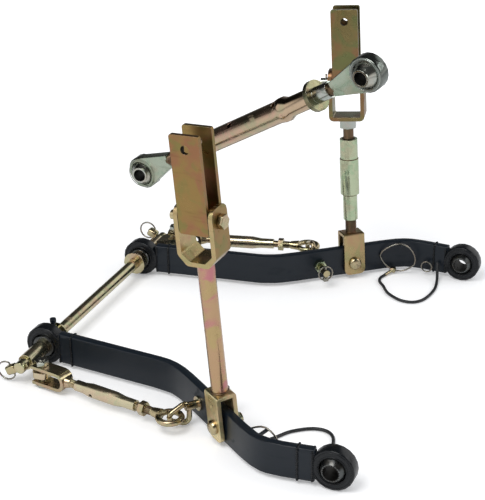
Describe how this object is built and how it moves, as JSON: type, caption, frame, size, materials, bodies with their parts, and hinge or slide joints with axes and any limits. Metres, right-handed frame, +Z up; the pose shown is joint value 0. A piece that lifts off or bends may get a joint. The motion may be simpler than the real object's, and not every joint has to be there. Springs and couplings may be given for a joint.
{
  "type": "three point hitch",
  "caption": "Rear three point hitch for a compact tractor: bent lower arms on a crossbar, turnbuckle stabilisers, lift rods with upper links, and an adjustable top link with ball ends.",
  "frame": {"origin": "middle of the axis of the crossbar, midway between the two front balls", "axes": "+X rearward to the implement, +Y to the right-hand arm, +Z up"},
  "size_m": [0.602, 0.7168, 0.536],
  "materials": {
    "satin_black": "satin black paint over forged and bent steel bar",
    "gold_zinc": "yellow zinc chromate on steel, with pink and green tints",
    "pale_zinc": "pale green zinc chromate on steel",
    "bright_zinc": "bright zinc on steel, slightly blue",
    "dark_steel": "dark hardened steel with a film of oil",
    "black_cord": "black plastic-covered cord"
  },
  "bodies": {
    "mounting_bar": {"crossbar": "gold_zinc", "left_collar": "pale_zinc", "right_collar": "pale_zinc", "left_set_screw": "satin_black", "right_set_screw": "satin_black", "left_bar_pin": "gold_zinc", "right_bar_pin": "gold_zinc"},
    "left_front_ball": {"left_front_ball": "dark_steel"},
    "left_arm": {"left_arm": "satin_black", "left_arm_eye": "gold_zinc", "left_arm_eye_nut": "pale_zinc", "left_tail_pin": "dark_steel", "left_lanyard": "black_cord", "left_lanyard_bail": "dark_steel", "left_lanyard_pin": "gold_zinc", "left_split_ring": "dark_steel"},
    "left_rear_ball": {"left_rear_ball": "dark_steel"},
    "left_bracket": {"left_bracket": "gold_zinc"},
    "left_fork": {"left_fork": "gold_zinc", "left_fork_bolt": "bright_zinc"},
    "left_stabiliser_tube": {"left_stabiliser_tube": "gold_zinc"},
    "left_stabiliser_eye": {"left_stabiliser_eye": "gold_zinc", "left_stabiliser_nut": "pale_zinc"},
    "left_bar_bail": {"left_bar_bail": "dark_steel"},
    "left_rod": {"left_rod": "gold_zinc", "left_foot_bolt": "gold_zinc", "left_foot_nut": "pale_zinc", "left_yoke_bolt": "gold_zinc"},
    "left_link": {"left_link": "gold_zinc"},
    "right_front_ball": {"right_front_ball": "dark_steel"},
    "right_arm": {"right_arm": "satin_black", "right_arm_eye": "gold_zinc", "right_arm_eye_nut": "pale_zinc", "right_tail_pin": "dark_steel", "right_lanyard": "black_cord", "right_lanyard_bail": "dark_steel", "right_lanyard_pin": "gold_zinc", "right_split_ring": "dark_steel"},
    "right_rear_ball": {"right_rear_ball": "dark_steel"},
    "right_bracket": {"right_bracket": "gold_zinc"},
    "right_fork": {"right_fork": "gold_zinc", "right_fork_bolt": "bright_zinc"},
    "right_stabiliser_tube": {"right_stabiliser_tube": "gold_zinc"},
    "right_stabiliser_eye": {"right_stabiliser_eye": "gold_zinc", "right_stabiliser_nut": "pale_zinc"},
    "right_bar_bail": {"right_bar_bail": "dark_steel"},
    "right_foot": {"right_foot": "gold_zinc", "right_foot_bolt": "gold_zinc", "right_foot_nut": "pale_zinc"},
    "right_barrel": {"right_barrel": "pale_zinc"},
    "right_yoke": {"right_yoke": "gold_zinc", "right_rod_nut": "pale_zinc", "right_yoke_bolt": "gold_zinc"},
    "right_link": {"right_link": "gold_zinc"},
    "top_front_ball": {"top_front_ball": "bright_zinc"},
    "top_front_eye": {"top_front_eye": "bright_zinc"},
    "top_barrel": {"top_barrel": "gold_zinc"},
    "top_rear_eye": {"top_rear_eye": "bright_zinc", "top_lock_collar": "pale_zinc"},
    "top_rear_ball": {"top_rear_ball": "bright_zinc"}
  },
  "joints": [
    {"name": "left_lift", "type": "hinge", "parent": "mounting_bar", "child": "left_front_ball", "pos_m": [0, -0.1707, 0], "axis": [0, -1, 0], "range_deg": [-20, 40]},
    {"name": "left_sway", "type": "hinge", "parent": "left_front_ball", "child": "left_arm", "pos_m": [0, -0.1707, 0], "axis": [0, 0, 1], "range_deg": [-5, 5]},
    {"name": "left_rear_swivel", "type": "hinge", "parent": "left_arm", "child": "left_rear_ball", "pos_m": [0.5285, -0.34139, 0], "axis": [0, 0, 1], "range_deg": [-15, 15]},
    {"name": "left_bracket_swing", "type": "hinge", "parent": "mounting_bar", "child": "left_bracket", "pos_m": [0, -0.1707, 0], "axis": [0, -1, 0], "range_deg": [-20, 40]},
    {"name": "left_fork_swing", "type": "hinge", "parent": "left_bracket", "child": "left_fork", "pos_m": [0.0315, -0.2427, -0.01], "axis": [0, 0, 1], "range_deg": [-7, 7]},
    {"name": "left_tube_turn", "type": "hinge", "parent": "left_fork", "child": "left_stabiliser_tube", "pos_m": [0.0315, -0.2427, -0.01], "axis": [0.9799, -0.1994, 0], "range_deg": [-600, 600]},
    {"name": "left_eye_slide", "type": "slide", "parent": "left_fork", "child": "left_stabiliser_eye", "axis": [0.9799, -0.1994, 0], "range_m": [-0.006, 0.006]},
    {"name": "left_bail_swing", "type": "hinge", "parent": "mounting_bar", "child": "left_bar_bail", "pos_m": [-0.01704, -0.25, -0.00795], "axis": [-0.4226, 0, 0.9063], "range_deg": [-60, 110]},
    {"name": "left_rod_swing", "type": "hinge", "parent": "left_arm", "child": "left_rod", "pos_m": [0.34601, -0.28774, -0.003], "axis": [-0.6275, -0.7748, -0.0774], "range_deg": [-25, 25]},
    {"name": "left_link_swing", "type": "hinge", "parent": "left_rod", "child": "left_link", "pos_m": [0.32643, -0.30355, 0.314], "axis": [0.9926, -0.1074, 0.0559], "range_deg": [-25, 25]},
    {"name": "right_lift", "type": "hinge", "parent": "mounting_bar", "child": "right_front_ball", "pos_m": [0, 0.1707, 0], "axis": [0, -1, 0], "range_deg": [-20, 40]},
    {"name": "right_sway", "type": "hinge", "parent": "right_front_ball", "child": "right_arm", "pos_m": [0, 0.1707, 0], "axis": [0, 0, 1], "range_deg": [-5, 5]},
    {"name": "right_rear_swivel", "type": "hinge", "parent": "right_arm", "child": "right_rear_ball", "pos_m": [0.5285, 0.34139, 0], "axis": [0, 0, 1], "range_deg": [-15, 15]},
    {"name": "right_bracket_swing", "type": "hinge", "parent": "mounting_bar", "child": "right_bracket", "pos_m": [0, 0.1707, 0], "axis": [0, -1, 0], "range_deg": [-20, 40]},
    {"name": "right_fork_swing", "type": "hinge", "parent": "right_bracket", "child": "right_fork", "pos_m": [0.0315, 0.2427, 0.01], "axis": [0, 0, 1], "range_deg": [-7, 7]},
    {"name": "right_tube_turn", "type": "hinge", "parent": "right_fork", "child": "right_stabiliser_tube", "pos_m": [0.0315, 0.2427, 0.01], "axis": [0.9799, 0.1994, 0], "range_deg": [-600, 600]},
    {"name": "right_eye_slide", "type": "slide", "parent": "right_fork", "child": "right_stabiliser_eye", "axis": [0.9799, 0.1994, 0], "range_m": [-0.006, 0.006]},
    {"name": "right_bail_swing", "type": "hinge", "parent": "mounting_bar", "child": "right_bar_bail", "pos_m": [-0.01704, 0.25, 0.00795], "axis": [-0.4226, 0, -0.9063], "range_deg": [-60, 110]},
    {"name": "right_rod_swing", "type": "hinge", "parent": "right_arm", "child": "right_foot", "pos_m": [0.34601, 0.28774, -0.003], "axis": [-0.6275, 0.7748, -0.0774], "range_deg": [-25, 25]},
    {"name": "right_barrel_turn", "type": "hinge", "parent": "right_foot", "child": "right_barrel", "pos_m": [0.34601, 0.28774, -0.003], "axis": [-0.0616, 0.0497, 0.9969], "range_deg": [-1352, 1802]},
    {"name": "right_yoke_slide", "type": "slide", "parent": "right_foot", "child": "right_yoke", "axis": [-0.0616, 0.0497, 0.9969], "range_m": [-0.015, 0.02]},
    {"name": "right_link_swing", "type": "hinge", "parent": "right_yoke", "child": "right_link", "pos_m": [0.32643, 0.30355, 0.314], "axis": [0.9763, 0.2107, 0.0498], "range_deg": [-25, 25]},
    {"name": "top_pitch", "type": "hinge", "parent": "mounting_bar", "child": "top_front_ball", "pos_m": [0.0981, 0, 0.2369], "axis": [0, -1, 0], "range_deg": [-50, 30]},
    {"name": "top_yaw", "type": "hinge", "parent": "top_front_ball", "child": "top_front_eye", "pos_m": [0.0981, 0, 0.2369], "axis": [-0.518, 0, 0.8554], "range_deg": [-4.5, 35.5]},
    {"name": "top_barrel_turn", "type": "hinge", "parent": "top_front_eye", "child": "top_barrel", "pos_m": [0.0981, 0, 0.2369], "axis": [0.8243, -0.2672, 0.4992], "range_deg": [-362, 2882]},
    {"name": "top_rear_slide", "type": "slide", "parent": "top_front_eye", "child": "top_rear_eye", "axis": [0.8243, -0.2672, 0.4992], "range_m": [-0.005, 0.04]},
    {"name": "top_rear_swivel", "type": "hinge", "parent": "top_rear_eye", "child": "top_rear_ball", "pos_m": [0.49704, -0.12934, 0.47851], "axis": [-0.518, 0, 0.8554], "range_deg": [-20, 20]}
  ],
  "couplings": [
    {"joint": "left_bracket_swing", "follows": "left_lift", "ratio": 1},
    {"joint": "left_fork_swing", "follows": "left_sway", "ratio": 1.19},
    {"joint": "left_tube_turn", "follows": "left_sway", "ratio": 115.4},
    {"joint": "left_eye_slide", "follows": "left_sway", "m_per_rad": 0.0643},
    {"joint": "right_bracket_swing", "follows": "right_lift", "ratio": 1},
    {"joint": "right_fork_swing", "follows": "right_sway", "ratio": 1.19},
    {"joint": "right_tube_turn", "follows": "right_sway", "ratio": -115.4},
    {"joint": "right_eye_slide", "follows": "right_sway", "m_per_rad": -0.0643},
    {"joint": "right_barrel_turn", "follows": "right_yoke_slide", "rad_per_m": 1570.8},
    {"joint": "top_barrel_turn", "follows": "top_rear_slide", "rad_per_m": 1256.6}
  ]
}
